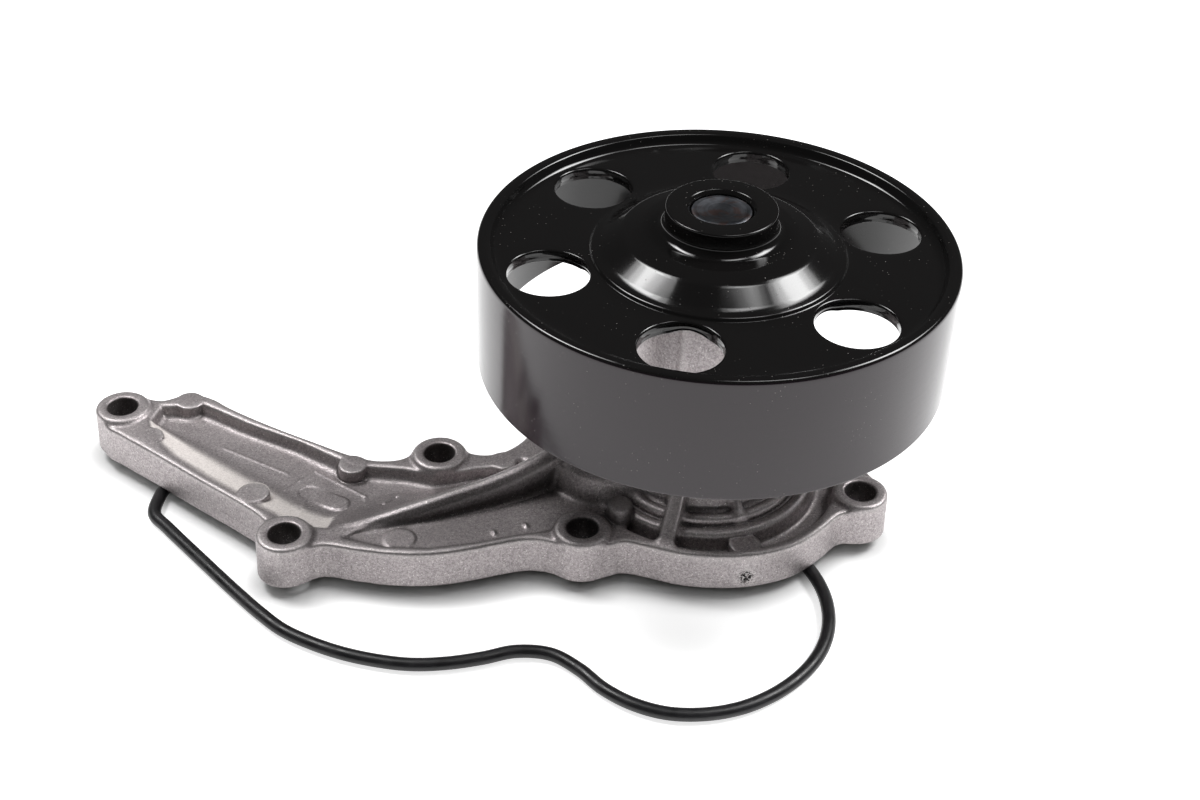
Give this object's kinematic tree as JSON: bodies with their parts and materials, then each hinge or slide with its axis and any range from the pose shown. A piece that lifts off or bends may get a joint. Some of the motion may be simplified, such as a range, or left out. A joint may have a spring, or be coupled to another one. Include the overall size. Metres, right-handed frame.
{
  "type": "engine coolant pump",
  "caption": "Flanged cast coolant pump with an offset arm, a bearing tower, a smooth belt pulley with round windows, a face-sealed impeller and a loose moulded gasket.",
  "frame": {"origin": "on the shaft axis, at the shaft's inner end face, which lies in the plane of the flange's mounting face", "axes": "+Z along the shaft axis from the mounting face towards the pulley; -X points along the arm of the flange; +Y completes the frame"},
  "size_m": [0.2381, 0.148, 0.0992],
  "materials": {
    "cast_aluminium": "shot-blasted die casting, fine sparkling grain",
    "black_coat": "glossy black electro-coat on steel, satin on the belt surface",
    "shaft_steel": "dark ground bearing steel",
    "bearing_steel": "ground and polished",
    "cage_nylon": "glass-filled nylon",
    "black_rubber": "matt",
    "gasket_rubber": "satin moulded rubber",
    "carbon": "lapped carbon",
    "seat_ceramic": "lapped ceramic",
    "stainless": "pressed stainless sheet"
  },
  "bodies": {
    "housing_body": {"housing": "cast_aluminium", "bearing_outer_ring": "bearing_steel", "bearing_seal_rear": "black_rubber", "bearing_seal_front": "black_rubber", "seal_cup": "stainless", "seal_spring": "stainless", "seal_bellows": "black_rubber"},
    "rotor": {"bearing_shaft": "shaft_steel", "pulley": "black_coat", "impeller": "stainless", "slinger": "shaft_steel", "seat_boot": "black_rubber", "seat_ring": "seat_ceramic"},
    "rear_ball_set": {"cage_rear": "cage_nylon", "ball_rear_1": "bearing_steel", "ball_rear_2": "bearing_steel", "ball_rear_3": "bearing_steel", "ball_rear_4": "bearing_steel", "ball_rear_5": "bearing_steel", "ball_rear_6": "bearing_steel", "ball_rear_7": "bearing_steel", "ball_rear_8": "bearing_steel"},
    "front_ball_set": {"cage_front": "cage_nylon", "ball_front_1": "bearing_steel", "ball_front_2": "bearing_steel", "ball_front_3": "bearing_steel", "ball_front_4": "bearing_steel", "ball_front_5": "bearing_steel", "ball_front_6": "bearing_steel", "ball_front_7": "bearing_steel", "ball_front_8": "bearing_steel"},
    "seal_face_body": {"seal_face": "carbon"},
    "gasket_body": {"gasket": "gasket_rubber"}
  },
  "joints": [
    {"name": "rotor_spin", "type": "hinge", "parent": "housing_body", "child": "rotor", "pos_m": [0, 0, 0.05], "axis": [0, 0, 1], "continuous": true},
    {"name": "rear_ball_set_spin", "type": "hinge", "parent": "housing_body", "child": "rear_ball_set", "pos_m": [0, 0, 0.041], "axis": [0, 0, 1], "continuous": true},
    {"name": "front_ball_set_spin", "type": "hinge", "parent": "housing_body", "child": "front_ball_set", "pos_m": [0, 0, 0.062], "axis": [0, 0, 1], "continuous": true},
    {"name": "seal_face_float", "type": "slide", "parent": "housing_body", "child": "seal_face_body", "axis": [0, 0, 1], "range_m": [0, 0.0015], "stiffness_N_per_m": 9000, "springref_m": -0.003, "deforming": ["seal_spring", "seal_bellows"]},
    {"name": "gasket_turn", "type": "hinge", "parent": "housing_body", "child": "gasket_body", "pos_m": [-0.2305, -0.0193, -0.0019], "axis": [0, 0, 1], "range_deg": [-15, 13.33]}
  ],
  "couplings": [
    {"joint": "rear_ball_set_spin", "follows": "rotor_spin", "ratio": 0.361},
    {"joint": "front_ball_set_spin", "follows": "rotor_spin", "ratio": 0.361}
  ]
}
